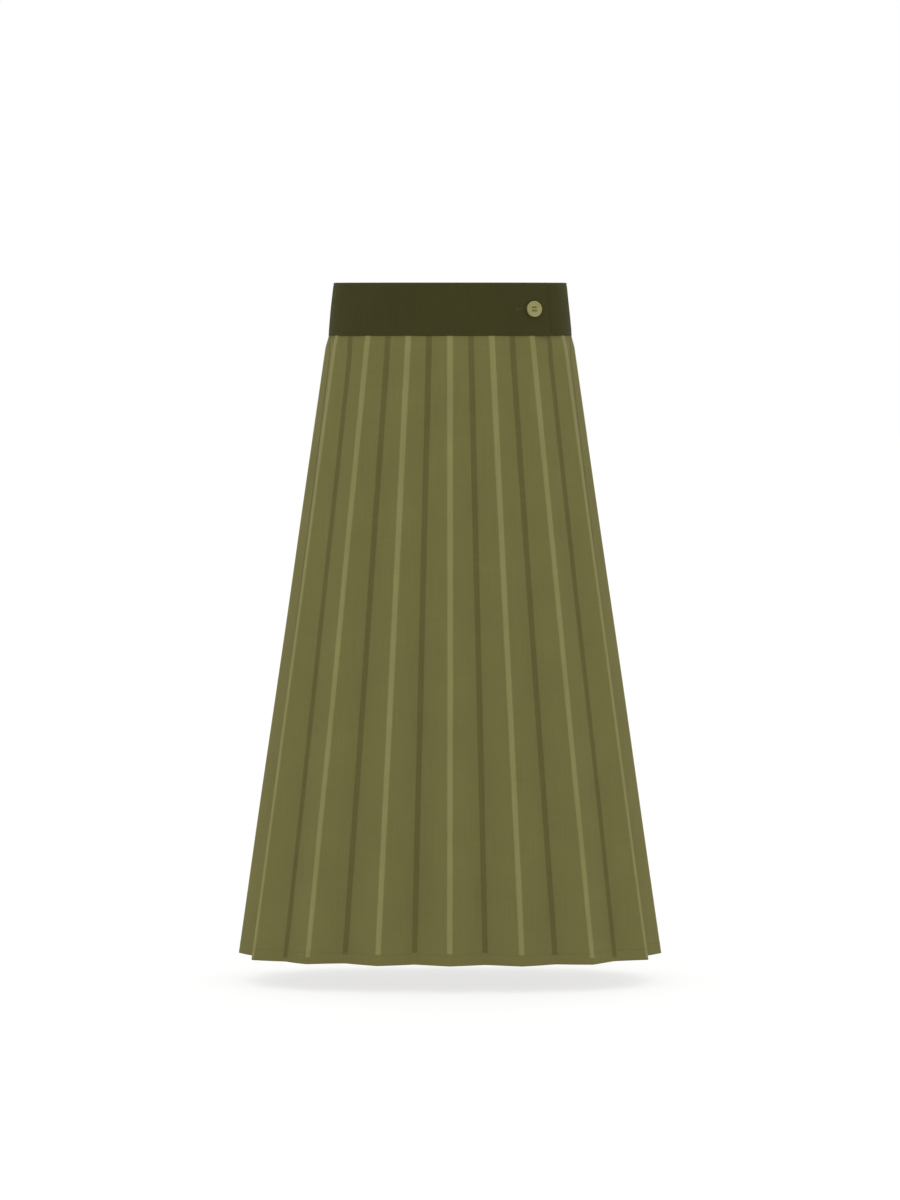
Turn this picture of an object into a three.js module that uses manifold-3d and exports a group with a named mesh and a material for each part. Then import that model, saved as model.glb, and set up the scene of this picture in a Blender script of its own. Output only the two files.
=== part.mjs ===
// A flared skirt of sixteen pressed sunray pleats on a straight waistband, hollow, standing
// open as its wearer fills it out. Each pleat is an outer fold and an inner fold with two flat
// flanks between them, and it widens in a straight line from the waistband to the hem.
//
// Millimetres, +Z up. The origin is the centre of the waist, half way up the waistband.
// The front faces -Y and the wearer's left is +X, where the waistband is buttoned.

import * as THREE from "three";
import { mergeVertices } from "three/addons/utils/BufferGeometryUtils.js";
import Module from "manifold-3d";

// ---------------------------------------------------------------- driving dimensions

// The section that the skirt keeps at every height: an oval between an ellipse and a rectangle.
const DEPTH_SHARE = 0.61; // front-to-back size over side-to-side size
const SQUARENESS = 2.7; // 2 is an ellipse, and more is squarer

const WAIST_HALF_WIDTH = 132.5; // at the waistband's top edge
const BAND_FOOT_HALF_WIDTH = 138.5; // at its lower edge
const TOP_HALF_WIDTH = 140; // where the straight side of the pleats would meet that edge
const HEM_HALF_WIDTH = 242.4;
const BAND_HEIGHT = 60;
const SKIRT_DROP = 705; // from the waistband to the hem

const PLEATS = 16;
const FRONT_PLEATS = 9; // the side seams lie in the inner folds beside them
const FLANK_AT_BAND = 24.1; // cloth from an outer fold to the next inner fold
const FLANK_AT_HEM = 44.9;
const FOLD_SOFTNESS = 3; // from a fold's crown to where its flank is flat

const CLOTH = 1.2; // wall of one layer
const HEM_CLOTH = 2.2; // wall where the hem is turned up
const HEM_TURN = 15;
const HEM_EDGE = 0.5; // height of the step at the turned-up layer's upper edge
const SEAM_GAP = 0.3;

const BAND_CLOTH = 2.6; // the strip folded double, with its stiffening
const OVERLAP_END = 2.5; // in pleats from the centre front, towards +X
const OVERLAP = 40; // length of the underlap behind the overlap
const OVERLAP_RISE = 1; // the overlap lies this much outside the rest of the band
const LAP_EASE = 22; // length over which the band bends to pass under or over itself

const BUTTON_PLACE = 2.085; // in pleats from the centre front
const BUTTON_RADIUS = 9;
const BUTTON_THICKNESS = 3.2;
const BUTTON_RIM = 2; // width of the raised rim
const BUTTON_DISH = 0.8; // depth of the face inside it
const BUTTON_STANDOFF = 0.6;
const BUTTON_EDGE = 0.7; // radius of the edge
const BUTTON_HOLE_RADIUS = 1.05;
const BUTTON_HOLE_SPACING = 3.6; // between the centres of neighbouring holes
const BUTTON_SIDES = 40;
const HOLE_SIDES = 12;

// The cut sections of the pleated cloth. drop is measured from the waistband's lower edge,
// tuck is how far the folds lie inside the straight line of the side, open is the share of
// their full depth that the band lets the pleats have, and wall is the cloth.
const LEVELS = [
  { drop: SEAM_GAP, tuck: 2.9, open: 0.45, wall: CLOTH },
  { drop: 9, tuck: 1.1, open: 0.75, wall: CLOTH },
  { drop: 24, tuck: 0, open: 1, wall: CLOTH },
  { drop: 55, tuck: 0, open: 1, wall: CLOTH },
  { drop: 105, tuck: 0, open: 1, wall: CLOTH },
  { drop: 175, tuck: 0, open: 1, wall: CLOTH },
  { drop: 265, tuck: 0, open: 1, wall: CLOTH },
  { drop: 370, tuck: 0, open: 1, wall: CLOTH },
  { drop: 480, tuck: 0, open: 1, wall: CLOTH },
  { drop: 590, tuck: 0, open: 1, wall: CLOTH },
  { drop: SKIRT_DROP - HEM_TURN - HEM_EDGE, tuck: 0, open: 1, wall: CLOTH },
  { drop: SKIRT_DROP - HEM_TURN, tuck: 0, open: 1, wall: HEM_CLOTH },
  { drop: SKIRT_DROP, tuck: 0, open: 1, wall: HEM_CLOTH },
];

const BAND_STEPS_PER_PLEAT = 4;
const BAND_ROWS = 3;

const BAND_TOP = BAND_HEIGHT / 2;
const BAND_FOOT = -BAND_HEIGHT / 2;

// ---------------------------------------------------------------- colours

const OLIVE_CLOTH = new THREE.MeshStandardMaterial({ color: 0x6e6a3e, roughness: 0.85, metalness: 0 });
const BAND_OLIVE = new THREE.MeshStandardMaterial({ color: 0x3e3c21, roughness: 0.85, metalness: 0 });
const BUTTON_OLIVE = new THREE.MeshStandardMaterial({ color: 0x898555, roughness: 0.4, metalness: 0 });

// ---------------------------------------------------------------- the oval section

const signedPower = (value, power) => Math.sign(value) * Math.abs(value) ** power;

// The oval of half-width 1 at an angle from the centre front, towards +X.
function ovalAtAngle(angle) {
  return new THREE.Vector2(
    signedPower(Math.sin(angle), 2 / SQUARENESS),
    -DEPTH_SHARE * signedPower(Math.cos(angle), 2 / SQUARENESS),
  );
}

// Points close together round the oval, each with its distance along it.
const OVAL_STEPS = 7200;
const OVAL = [{ point: ovalAtAngle(0), along: 0 }];
for (let i = 1; i <= OVAL_STEPS; i += 1) {
  const point = ovalAtAngle((i / OVAL_STEPS) * 2 * Math.PI);
  const last = OVAL[i - 1];
  OVAL.push({ point, along: last.along + point.distanceTo(last.point) });
}
const OVAL_ROUND = OVAL[OVAL_STEPS].along;

// The oval's point and outward normal a number of pleats from the centre front.
function ovalAtPleat(pleat) {
  const along = THREE.MathUtils.euclideanModulo(pleat / PLEATS, 1) * OVAL_ROUND;
  let low = 0;
  let high = OVAL_STEPS;
  while (high - low > 1) {
    const middle = (low + high) >> 1;
    if (OVAL[middle].along <= along) low = middle;
    else high = middle;
  }
  const share = (along - OVAL[low].along) / (OVAL[high].along - OVAL[low].along);
  const point = OVAL[low].point.clone().lerp(OVAL[high].point, share);
  const outward = new THREE.Vector2(
    signedPower(point.x, SQUARENESS - 1),
    signedPower(point.y / DEPTH_SHARE, SQUARENESS - 1) / DEPTH_SHARE,
  ).normalize();
  return { point, outward };
}

// ---------------------------------------------------------------- lofting a wall

const leftOf = (direction) => new THREE.Vector2(-direction.y, direction.x);

// Lofts a closed wall through rows of { outer, inner } points, the top row first. Each row runs
// anticlockwise seen from above, from one end of the piece to the other.
function loftWall(rows) {
  const across = rows[0].outer.length;
  const loop = 2 * across;
  const positions = rows.flatMap(({ outer, inner }) =>
    [...outer, ...[...inner].reverse()].flatMap((point) => point.toArray()),
  );
  const faces = [];
  const addQuad = (a, b, c, d) => faces.push(a, b, c, a, c, d);
  for (let row = 0; row < rows.length - 1; row += 1) {
    for (let i = 0; i < loop; i += 1) {
      const next = (i + 1) % loop;
      addQuad(row * loop + i, (row + 1) * loop + i, (row + 1) * loop + next, row * loop + next);
    }
  }
  const foot = (rows.length - 1) * loop;
  for (let i = 0; i < across - 1; i += 1) {
    const inside = loop - 1 - i;
    addQuad(i, i + 1, inside - 1, inside);
    addQuad(foot + i + 1, foot + i, foot + inside, foot + inside - 1);
  }
  const geometry = new THREE.BufferGeometry();
  geometry.setAttribute("position", new THREE.Float32BufferAttribute(positions, 3));
  geometry.setIndex(faces);
  geometry.computeVertexNormals();
  return geometry;
}

// ---------------------------------------------------------------- the pleated panels

// The corner of fold number half: even ones are outer folds and odd ones are inner folds.
function foldCorner(half, halfWidth, depth) {
  const { point, outward } = ovalAtPleat(half / 2);
  return point
    .multiplyScalar(halfWidth)
    .addScaledVector(outward, half % 2 === 0 ? 0 : -depth);
}

// The outer face of the whole pleated ring at one level: three points round each fold, with
// the direction in which the wall lies.
function pleatedRing({ drop, tuck, open }) {
  const share = drop / SKIRT_DROP;
  const halfWidth = THREE.MathUtils.lerp(TOP_HALF_WIDTH, HEM_HALF_WIDTH, share) - tuck;
  const flank = THREE.MathUtils.lerp(FLANK_AT_BAND, FLANK_AT_HEM, share);
  const halfPitch = (OVAL_ROUND * halfWidth) / (2 * PLEATS);
  const depth = open * Math.sqrt(flank ** 2 - halfPitch ** 2);
  const folds = 2 * PLEATS;
  const corners = Array.from({ length: folds }, (_, half) => foldCorner(half, halfWidth, depth));
  const points = corners.flatMap((corner, half) => {
    const before = corners[(half + folds - 1) % folds];
    const after = corners[(half + 1) % folds];
    const from = corner.clone().lerp(before, FOLD_SOFTNESS / corner.distanceTo(before));
    const to = corner.clone().lerp(after, FOLD_SOFTNESS / corner.distanceTo(after));
    const crown = from.clone().add(to).multiplyScalar(0.25).addScaledVector(corner, 0.5);
    return [from, crown, to];
  });
  return points.map((point, i) => {
    const before = points[(i + points.length - 1) % points.length];
    const after = points[(i + 1) % points.length];
    const normalIn = leftOf(point.clone().sub(before).normalize());
    const normalOut = leftOf(after.clone().sub(point).normalize());
    const inward = normalIn.clone().add(normalOut).divideScalar(1 + normalIn.dot(normalOut));
    const along = after.clone().sub(before).normalize();
    return { point, inward, along };
  });
}

// The middle one of a fold's three points in the ring.
const crownOf = (half) => 3 * half + 1;

// One panel, from the crown of one inner fold to the crown of another.
function pleatedPanel(firstHalf, lastHalf) {
  const first = crownOf(firstHalf);
  const last = crownOf(lastHalf);
  const rows = LEVELS.map((level) => {
    const ring = pleatedRing(level);
    const outer = [];
    const inner = [];
    for (let i = first; i <= last; i += 1) {
      const { point, inward, along } = ring[THREE.MathUtils.euclideanModulo(i, ring.length)];
      const trim = (Number(i === first) - Number(i === last)) * (SEAM_GAP / 2);
      const cut = point.clone().addScaledVector(along, trim);
      const inside = cut.clone().addScaledVector(inward, level.wall);
      const height = BAND_FOOT - level.drop;
      outer.push(new THREE.Vector3(cut.x, cut.y, height));
      inner.push(new THREE.Vector3(inside.x, inside.y, height));
    }
    return { outer, inner };
  });
  return loftWall(rows);
}

// ---------------------------------------------------------------- the waistband

const bandHalfWidth = (height) =>
  THREE.MathUtils.mapLinear(height, BAND_TOP, BAND_FOOT, WAIST_HALF_WIDTH, BAND_FOOT_HALF_WIDTH);

// From one pleat to the next, along the middle of the waistband.
const PITCH_AT_BAND = (OVAL_ROUND * bandHalfWidth(0)) / PLEATS;

const OVERLAP_START = OVERLAP_END - OVERLAP / PITCH_AT_BAND;
const EASE_IN_PLEATS = LAP_EASE / PITCH_AT_BAND;
const UNDERLAP_SINK = BAND_CLOTH + SEAM_GAP - OVERLAP_RISE;

// How far the band lies outside its own oval, at a number of pleats along the strip: it starts
// under the overlap, runs once round the waist and ends on top of its own start.
function bandLift(pleat) {
  const { smoothstep } = THREE.MathUtils;
  const lapStart = OVERLAP_START + PLEATS;
  const sink = 1 - smoothstep(pleat, OVERLAP_END, OVERLAP_END + EASE_IN_PLEATS);
  const rise = smoothstep(pleat, lapStart - EASE_IN_PLEATS, lapStart);
  return OVERLAP_RISE * rise - UNDERLAP_SINK * sink;
}

// A point of the band's outer face, or as far inside it as depth says.
function bandPoint(pleat, height, depth = 0) {
  const { point, outward } = ovalAtPleat(pleat);
  const place = point
    .multiplyScalar(bandHalfWidth(height))
    .addScaledVector(outward, bandLift(pleat) - depth);
  return new THREE.Vector3(place.x, place.y, height);
}

function waistbandStrip() {
  const length = OVERLAP_END + PLEATS - OVERLAP_START;
  const steps = Math.round(length * BAND_STEPS_PER_PLEAT);
  const rows = Array.from({ length: BAND_ROWS }, (_, row) => {
    const height = THREE.MathUtils.lerp(BAND_TOP, BAND_FOOT, row / (BAND_ROWS - 1));
    const places = Array.from(
      { length: steps + 1 },
      (__, step) => OVERLAP_START + (length * step) / steps,
    );
    return {
      outer: places.map((pleat) => bandPoint(pleat, height)),
      inner: places.map((pleat) => bandPoint(pleat, height, BAND_CLOTH)),
    };
  });
  return loftWall(rows);
}

// ---------------------------------------------------------------- the button

const wasm = await Module();
wasm.setup();

function solidFrom(geometry) {
  const bare = geometry.clone();
  bare.deleteAttribute("normal");
  bare.deleteAttribute("uv");
  const merged = mergeVertices(bare, 1e-4);
  const mesh = new wasm.Mesh({
    numProp: 3,
    vertProperties: merged.attributes.position.array,
    triVerts: new Uint32Array(merged.index.array),
  });
  return new wasm.Manifold(mesh);
}

function geometryFrom(solid) {
  const mesh = solid.getMesh();
  const geometry = new THREE.BufferGeometry();
  geometry.setAttribute("position", new THREE.BufferAttribute(mesh.vertProperties, 3));
  geometry.setIndex(new THREE.BufferAttribute(mesh.triVerts, 1));
  geometry.computeVertexNormals();
  return geometry;
}

// A disc with a raised rim round a shallow dish and four holes, its back on the XZ plane and
// its face towards +Y.
function buttonDisc() {
  const face = BUTTON_THICKNESS - BUTTON_DISH;
  const dishRadius = BUTTON_RADIUS - BUTTON_RIM;
  const profile = [
    [0, 0],
    [BUTTON_RADIUS - BUTTON_EDGE, 0],
    [BUTTON_RADIUS, BUTTON_EDGE],
    [BUTTON_RADIUS, BUTTON_THICKNESS - BUTTON_EDGE],
    [BUTTON_RADIUS - BUTTON_EDGE, BUTTON_THICKNESS],
    [dishRadius + BUTTON_EDGE / 2, BUTTON_THICKNESS],
    [dishRadius - BUTTON_EDGE, face],
    [0, face],
  ].map(([radius, height]) => new THREE.Vector2(radius, height));
  const drill = new THREE.CylinderGeometry(
    BUTTON_HOLE_RADIUS,
    BUTTON_HOLE_RADIUS,
    3 * BUTTON_THICKNESS,
    HOLE_SIDES,
  );
  let disc = solidFrom(new THREE.LatheGeometry(profile, BUTTON_SIDES));
  const offset = BUTTON_HOLE_SPACING / 2;
  for (const [x, z] of [[1, 1], [1, -1], [-1, 1], [-1, -1]]) {
    disc = disc.subtract(solidFrom(drill.clone().translate(x * offset, 0, z * offset)));
  }
  return geometryFrom(disc);
}

// The button stands off the overlap, square to it.
function placeButton(mesh) {
  const pleat = BUTTON_PLACE + PLEATS;
  const step = 0.02;
  const along = bandPoint(pleat + step, 0).sub(bandPoint(pleat - step, 0));
  const up = bandPoint(pleat, 1).sub(bandPoint(pleat, -1));
  const outward = along.cross(up).normalize();
  mesh.quaternion.setFromUnitVectors(new THREE.Vector3(0, 1, 0), outward);
  mesh.position.copy(bandPoint(pleat, 0)).addScaledVector(outward, BUTTON_STANDOFF);
  return mesh;
}

// ---------------------------------------------------------------- the skirt

function named(name, geometry, material) {
  const mesh = new THREE.Mesh(geometry, material);
  mesh.name = name;
  return mesh;
}

const SIDE_SEAM = FRONT_PLEATS; // as a fold number: the inner fold after the last front pleat

const skirt = new THREE.Group();
skirt.add(
  named("front_panel", pleatedPanel(-SIDE_SEAM, SIDE_SEAM), OLIVE_CLOTH),
  named("back_panel", pleatedPanel(SIDE_SEAM, 2 * PLEATS - SIDE_SEAM), OLIVE_CLOTH),
  named("waistband", waistbandStrip(), BAND_OLIVE),
  placeButton(named("button", buttonDisc(), BUTTON_OLIVE)),
);

export default skirt;
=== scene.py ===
import math
from bisect import bisect_right
from functools import lru_cache
from itertools import accumulate

import bmesh
import bpy
from mathutils import Matrix, Vector, noise


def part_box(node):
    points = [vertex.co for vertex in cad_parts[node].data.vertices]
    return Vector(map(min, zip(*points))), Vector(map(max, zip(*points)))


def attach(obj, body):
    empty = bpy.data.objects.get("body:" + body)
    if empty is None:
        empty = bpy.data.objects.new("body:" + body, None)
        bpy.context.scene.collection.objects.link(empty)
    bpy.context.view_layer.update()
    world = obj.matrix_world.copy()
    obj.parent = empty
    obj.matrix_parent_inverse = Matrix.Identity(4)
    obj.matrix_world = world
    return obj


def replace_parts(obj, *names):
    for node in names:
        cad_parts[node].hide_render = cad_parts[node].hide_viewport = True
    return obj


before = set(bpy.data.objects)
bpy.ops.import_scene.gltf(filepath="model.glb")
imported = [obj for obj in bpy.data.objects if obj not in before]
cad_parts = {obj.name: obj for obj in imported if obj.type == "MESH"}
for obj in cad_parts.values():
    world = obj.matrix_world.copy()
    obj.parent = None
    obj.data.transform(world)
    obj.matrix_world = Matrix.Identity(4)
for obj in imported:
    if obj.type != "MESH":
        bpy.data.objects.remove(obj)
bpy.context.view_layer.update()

# A pleated skirt, standing open as its wearer fills it out: a front and a back of sunray
# pleats, a doubled waistband that laps and buttons at the wearer's left front, its button,
# and the thread that holds them. Lengths are in metres. The front faces -Y.

MM = 0.001

# ---------------------------------------------------------------- sizes

BAND_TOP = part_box("waistband")[1].z
BAND_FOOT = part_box("waistband")[0].z
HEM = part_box("front_panel")[0].z
SKIRT_DROP = BAND_FOOT - HEM

# The section that the skirt keeps at every height: an oval, squarer than an ellipse.
DEPTH_SHARE = 0.61
SQUARENESS = 2.7  # 2 is an ellipse
WAIST_HALF_WIDTH = 132.5 * MM
BAND_FOOT_HALF_WIDTH = 138.5 * MM
TOP_HALF_WIDTH = 140 * MM  # where the straight side of the pleats would meet the band's foot
HEM_HALF_WIDTH = 242.4 * MM

PLEATS = 16
FOLDS = 2 * PLEATS
FRONT_PLEATS = 9
FLANK_AT_BAND = 24.1 * MM
FLANK_AT_HEM = 44.9 * MM
BAND_GRIP = 24 * MM  # the height over which the pleats open below the band
TUCK_EASE = 16 * MM  # and over which they come out from under it
TOP_OPEN = 0.1  # the share of their depth that they have in the band
INTO_BAND = 2 * MM  # the cloth that is sewn in between the band's two layers

CLOTH = 0.6 * MM
HEM_TURN = 14 * MM
HEM_ROLL = 1.0 * MM  # radius of the fold at the hem's edge
SEAM_ALLOWANCE = 10 * MM
SEAM_IN_BAND = 0.4 * MM  # what is left of it where the band's layers hold it
SEAM_GRIP = 40 * MM  # the height over which it comes out below the band
SEAM_CLEARANCE = 0.01 * MM

BAND_CLOTH = 2.6 * MM
BAND_OVER_PLEATS = 0.25 * MM  # the part of that outside the crowns of the pleats
OVERLAP_END = 2.5  # in pleats from the centre front, towards +X
OVERLAP = 40 * MM
OVERLAP_RISE = 1 * MM  # how far the overlap stands out
LAP_EASE = 22 * MM  # and the length of band over which it comes out
SEAM_GAP = 0.3 * MM

BUTTON_PLACE = 2.085  # in pleats from the centre front
BUTTON_RADIUS = 9 * MM
BUTTON_THICKNESS = 3.2 * MM
BUTTON_STANDOFF = 0.6 * MM
BUTTON_HOLE_RADIUS = 1.05 * MM
BUTTON_HOLE_SPACING = 3.6 * MM
BUTTONHOLE_LENGTH = 21 * MM

STITCH = 2.6 * MM
STITCH_PITCH = 3.2 * MM
THREAD_RADIUS = 0.26 * MM
TOPSTITCH_INSET = 3 * MM

# ---------------------------------------------------------------- camera and room

PICTURE_HEIGHT = 1200  # in dots of the finished picture
DOT = 1.14 * MM  # what one dot covers at the skirt
BAND_ROW = 309.5  # the dot row of the band's middle
CAMERA_DISTANCE = 7.07
SENSOR = 36
FLOOR_GAP = 31 * MM  # the hem hangs this far above the floor
FLOOR_RADIUS = 30
FLOOR_SIDES = 64

LAMP_ASIDE = 3.2  # a lamp stands on either side this far from the middle,
LAMP_BEFORE = 3.6  # this far before the skirt
LAMP_ABOVE = 1.2  # and this far above its waist
LAMP_SIZE = 1.6
LAMP_POWER = 9
OVERHEAD_SPREAD = math.radians(80)
OVERHEAD_POWER = 0.7


def set_camera():
    """Looks level with the waist, turned down just enough to hold the hem in the picture."""
    aim = Vector((0, 0, (BAND_ROW - PICTURE_HEIGHT / 2) * DOT))
    place = Vector((0, -CAMERA_DISTANCE, 0))
    data = bpy.data.cameras.new("camera")
    data.sensor_width = SENSOR
    data.lens = SENSOR * (aim - place).length / (PICTURE_HEIGHT * DOT)
    camera = bpy.data.objects.new("camera", data)
    camera.location = place
    camera.rotation_mode = "QUATERNION"
    camera.rotation_quaternion = (aim - place).to_track_quat("-Z", "Y")
    bpy.context.scene.collection.objects.link(camera)
    bpy.context.scene.camera = camera


def hang_lamp(name, side):
    """A large round lamp before the skirt, on one side, turned to the skirt's middle."""
    data = bpy.data.lights.new(name, "AREA")
    data.shape = "DISK"
    data.size = LAMP_SIZE
    data.energy = LAMP_POWER
    lamp = bpy.data.objects.new(name, data)
    lamp.location = (side * LAMP_ASIDE, -LAMP_BEFORE, LAMP_ABOVE)
    aim = Vector((0, 0, HEM / 2)) - lamp.location
    lamp.rotation_mode = "QUATERNION"
    lamp.rotation_quaternion = aim.to_track_quat("-Z", "Y")
    bpy.context.scene.collection.objects.link(lamp)


def light_room():
    """A white room with soft light all round, two lamps and a broad light from overhead."""
    world = bpy.data.worlds.new("white room")
    world.use_nodes = True
    background = world.node_tree.nodes["Background"]
    background.inputs["Color"].default_value = (1, 1, 1, 1)
    background.inputs["Strength"].default_value = 1.0
    bpy.context.scene.world = world
    bpy.context.scene.view_settings.view_transform = "Standard"
    hang_lamp("left lamp", -1)
    hang_lamp("right lamp", 1)
    overhead = bpy.data.lights.new("overhead light", "SUN")
    overhead.angle = OVERHEAD_SPREAD
    overhead.energy = OVERHEAD_POWER
    light = bpy.data.objects.new("overhead light", overhead)
    bpy.context.scene.collection.objects.link(light)


# ---------------------------------------------------------------- finishes


def from_screen(red, green, blue):
    """The linear colour of a screen colour given from 0 to 255."""
    shares = (value / 255 for value in (red, green, blue))
    linear = [s / 12.92 if s <= 0.04045 else ((s + 0.055) / 1.055) ** 2.4 for s in shares]
    return (*linear, 1)


OLIVE = from_screen(110, 106, 62)
# Painted highlight along each outer fold of the pleats and painted shade along each inner fold,
# in these colours.
RIDGE_PAINTED_HIGHLIGHT = from_screen(130, 126, 79)
VALLEY_PAINTED_SHADE = from_screen(93, 90, 51)
BAND_OLIVE = from_screen(62, 60, 30)
BUTTON_OLIVE = from_screen(137, 133, 75)
BAND_THREAD = from_screen(70, 67, 38)


class Wire:
    """An output in a finish, so that sums over a surface are written as plain expressions."""

    def __init__(self, finish, socket):
        self.finish = finish
        self.socket = socket

    def sum(self, operation, first, second=0):
        """One step of arithmetic, on wires or plain numbers."""
        return self.finish.node("ShaderNodeMath", {"operation": operation}, {0: first, 1: second})

    def __add__(self, other):
        return self.sum("ADD", self, other)

    def __sub__(self, other):
        return self.sum("SUBTRACT", self, other)

    def __rsub__(self, other):
        return self.sum("SUBTRACT", other, self)

    def __mul__(self, other):
        return self.sum("MULTIPLY", self, other)

    __radd__ = __add__
    __rmul__ = __mul__

    def wave(self, pitch):
        """Runs from 0 to 1 and back once in each pitch."""
        return self.sum("SINE", self * (2 * math.pi / pitch)) * 0.5 + 0.5

    def about(self, spread):
        """Turns 0 to 1 into an amount that is spread evenly about 0."""
        return (self - 0.5) * spread


class Finish:
    """A material that is built up from nodes."""

    def __init__(self, name, **shader_settings):
        self.material = bpy.data.materials.new(name)
        self.material.use_nodes = True
        self.tree = self.material.node_tree
        self.shader = self.tree.nodes["Principled BSDF"]
        for socket, value in shader_settings.items():
            self.shader.inputs[socket.replace("_", " ")].default_value = value

    def node(self, kind, settings=None, inputs=None, output=0):
        """Makes a node, with its settings first, then its inputs, and returns one output."""
        made = self.tree.nodes.new(kind)
        for name, value in (settings or {}).items():
            setattr(made, name, value)
        for name, value in (inputs or {}).items():
            if isinstance(value, Wire):
                self.tree.links.new(value.socket, made.inputs[name])
            else:
                made.inputs[name].default_value = value
        return Wire(self, made.outputs[output])

    def give(self, socket, wire):
        self.tree.links.new(wire.socket, self.shader.inputs[socket])

    def cut_map(self):
        """Where a spot lies on the flat cut cloth, in metres."""
        return self.node("ShaderNodeUVMap", {"uv_map": "cut"})

    def place(self):
        """Where a spot lies on the skirt, in metres."""
        return self.node("ShaderNodeTexCoord", output="Object")

    def times(self, first, second):
        """Two vectors or colours multiplied, part by part."""
        return self.node("ShaderNodeVectorMath", {"operation": "MULTIPLY"}, {0: first, 1: second})

    def part(self, vector, axis):
        return self.node("ShaderNodeSeparateXYZ", inputs={"Vector": vector}, output=axis)

    def noise(self, vector, per_metre, detail=2):
        """Noise with this many blots in a metre, or in a metre along each axis."""
        if isinstance(per_metre, tuple):
            vector = self.times(vector, per_metre)
            per_metre = 1
        inputs = {"Vector": vector, "Scale": per_metre, "Detail": detail}
        return self.node("ShaderNodeTexNoise", inputs=inputs)

    def fade(self, value, start, end):
        """Runs from 0 at start to 1 at end."""
        inputs = {"Value": value, "From Min": start, "From Max": end}
        return self.node("ShaderNodeMapRange", {"interpolation_type": "SMOOTHSTEP"}, inputs)

    def mix(self, first, second, share):
        """The first colour where the share is 0 and the second where it is 1."""
        inputs = {0: share, 6: first, 7: second}
        return self.node("ShaderNodeMix", {"data_type": "RGBA"}, inputs, output=2)

    def colour(self, colour, tone):
        """Gives the surface a colour, made lighter or darker by a tone about 1."""
        grey = self.node("ShaderNodeCombineXYZ", inputs={0: tone, 1: tone, 2: tone})
        plain = colour if isinstance(colour, Wire) else colour[:3]
        self.give("Base Color", self.times(plain, grey))

    def bump(self, height, depth):
        inputs = {"Height": height, "Distance": depth}
        self.give("Normal", self.node("ShaderNodeBump", inputs=inputs))


TWILL_PITCH = 1.1 * MM  # from one diagonal rib to the next, across or down the cloth
TWILL_BENDS = 260  # in a metre
TWILL_WANDER = 0.55 * MM
YARN_PITCH = 0.9 * MM
YARN_SLANT = 0.4
RIB_SHARE = 0.75  # of the ribs in the weave, and the yarns have the rest
SLUBS_DOWN = (520, 14, 1)  # blots in a metre across and down the cloth
SLUBS_ACROSS = (18, 460, 1)
SLUB_DOWN_SHARE = 0.65
CLOTH_RELIEF = 0.25 * MM
RIB_RELIEF = 0.5  # shares of that
SLUB_RELIEF = 0.8


def twill(finish, tone, ribbed, slubbed, clouded, clouds):
    """(ribs, tone) of a twill: its diagonal ribs, 0 to 1, and a tone that is spread by its
    ribs, by its thick and thin yarns and by this many faint clouds in a metre."""
    cut = finish.cut_map()
    across, down = finish.part(cut, "X"), finish.part(cut, "Y")
    slant = across + down + finish.noise(cut, TWILL_BENDS, 1) * TWILL_WANDER
    yarns = down - across * YARN_SLANT
    ribs = slant.wave(TWILL_PITCH) * RIB_SHARE + yarns.wave(YARN_PITCH) * (1 - RIB_SHARE)
    slubs = finish.noise(cut, SLUBS_DOWN, 3) * SLUB_DOWN_SHARE
    slubs += finish.noise(cut, SLUBS_ACROSS) * (1 - SLUB_DOWN_SHARE)
    finish.bump(ribs * RIB_RELIEF + slubs * SLUB_RELIEF, CLOTH_RELIEF)
    cloudy = finish.noise(cut, clouds, 3)
    return ribs, tone + ribs.about(ribbed) + slubs.about(slubbed) + cloudy.about(clouded)


# The lines of painted highlight along the outer folds and painted shade along the inner folds.
CREASE_WIDTH = 6.8 * MM
CREASE_EDGE = 0.9 * MM  # half of the width over which a line fades out at its side
CREASE_END = 0.8 * MM  # and at its lower end
CREASE_WANDER = 0.7 * MM
CREASE_BENDS = 60  # in a metre


def painted_fold_highlight_and_shade(finish):
    """How far a spot lies in the painted highlight along an outer fold and in the painted shade
    along an inner fold, 0 to 1.
    """
    folds = finish.node("ShaderNodeAttribute", {"attribute_name": "folds"}, output="Vector")
    wander = finish.noise(finish.cut_map(), CREASE_BENDS).about(CREASE_WANDER)
    above_end = finish.fade(finish.part(folds, "Z"), -CREASE_END, CREASE_END)
    half = CREASE_WIDTH / 2
    for axis in "XY":
        distance = finish.part(folds, axis) + wander
        yield finish.fade(distance, half + CREASE_EDGE, half - CREASE_EDGE) * above_end


DULL = 0.92  # the cloth's roughness, which its ribs and its pressed folds bring down
RIB_POLISH = 0.08
PRESSED_POLISH = 0.14


def pleated_cloth_finish(name, pressed):
    """The skirt's cloth: its right side has painted highlight along its outer folds and painted
    shade along its inner folds, its wrong side is plain.
    """
    finish = Finish(
        name,
        Sheen_Weight=0.1,
        Sheen_Roughness=0.5,
        Sheen_Tint=RIDGE_PAINTED_HIGHLIGHT,
        Specular_IOR_Level=0.12,
    )
    ribs, tone = twill(finish, tone=0.92, ribbed=0.1, slubbed=0.28, clouded=0.2, clouds=16)
    colour = OLIVE
    roughness = DULL - ribs * RIB_POLISH
    # pressed turns on the painted highlight along the outer folds and the painted shade along the
    # inner folds; the outer folds are also less rough.
    if pressed:
        outer, inner = painted_fold_highlight_and_shade(finish)
        colour = finish.mix(finish.mix(OLIVE, RIDGE_PAINTED_HIGHLIGHT, outer), VALLEY_PAINTED_SHADE, inner)
        roughness = roughness - outer * PRESSED_POLISH
    finish.colour(colour, tone)
    finish.give("Roughness", roughness)
    return finish.material


BAND_DULL = 0.9
BAND_RIB_POLISH = 0.1
WORN_EDGE = 3 * MM
WORN_SPOTS = 70  # in a metre
WORN_PALER = 0.5


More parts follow.
